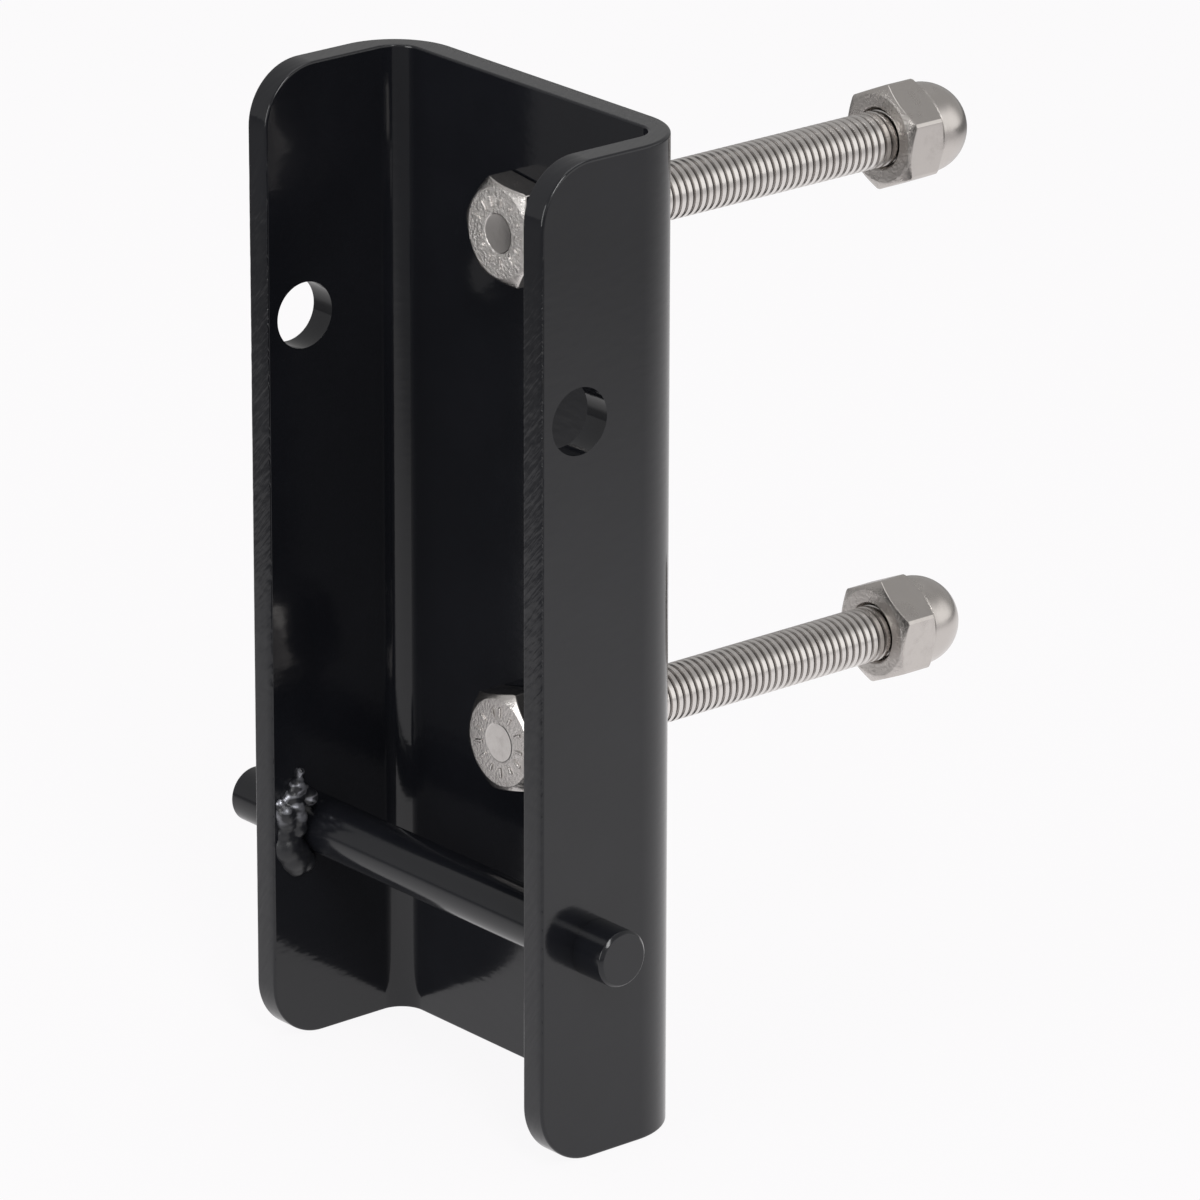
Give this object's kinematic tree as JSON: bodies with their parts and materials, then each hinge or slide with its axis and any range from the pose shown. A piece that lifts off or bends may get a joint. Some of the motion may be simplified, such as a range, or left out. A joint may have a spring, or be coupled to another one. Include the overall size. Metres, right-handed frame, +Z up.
{
  "type": "tripod winch mounting bracket",
  "caption": "Upright folded steel channel with a welded cross pin, lock pin holes and long hexagon bolts with dome nuts, for fixing a winch to a tripod leg.",
  "frame": {"origin": "middle of the flat back face of the web, which lies against the tripod leg", "axes": "+Y out of the back face towards the leg and along the clamp bolts, +Z up along the channel, X across the two flanges, +X towards the shorter end of the cross pin"},
  "size_m": [0.1005, 0.1256, 0.176],
  "materials": {
    "channel_paint": "black gloss paint over steel plate",
    "pin_paint": "black gloss paint over a round bar",
    "weld_paint": "black gloss paint over weld metal",
    "bolt_steel": "bare stainless steel, rolled thread",
    "nut_steel": "bare stainless steel, turned and lightly polished"
  },
  "bodies": {
    "root": {"channel": "channel_paint", "cross_pin": "pin_paint", "weld_bead_left": "weld_paint", "weld_bead_right": "weld_paint", "upper_bolt": "bolt_steel", "lower_bolt": "bolt_steel", "upper_dome_nut": "nut_steel", "lower_dome_nut": "nut_steel"}
  },
  "joints": []
}
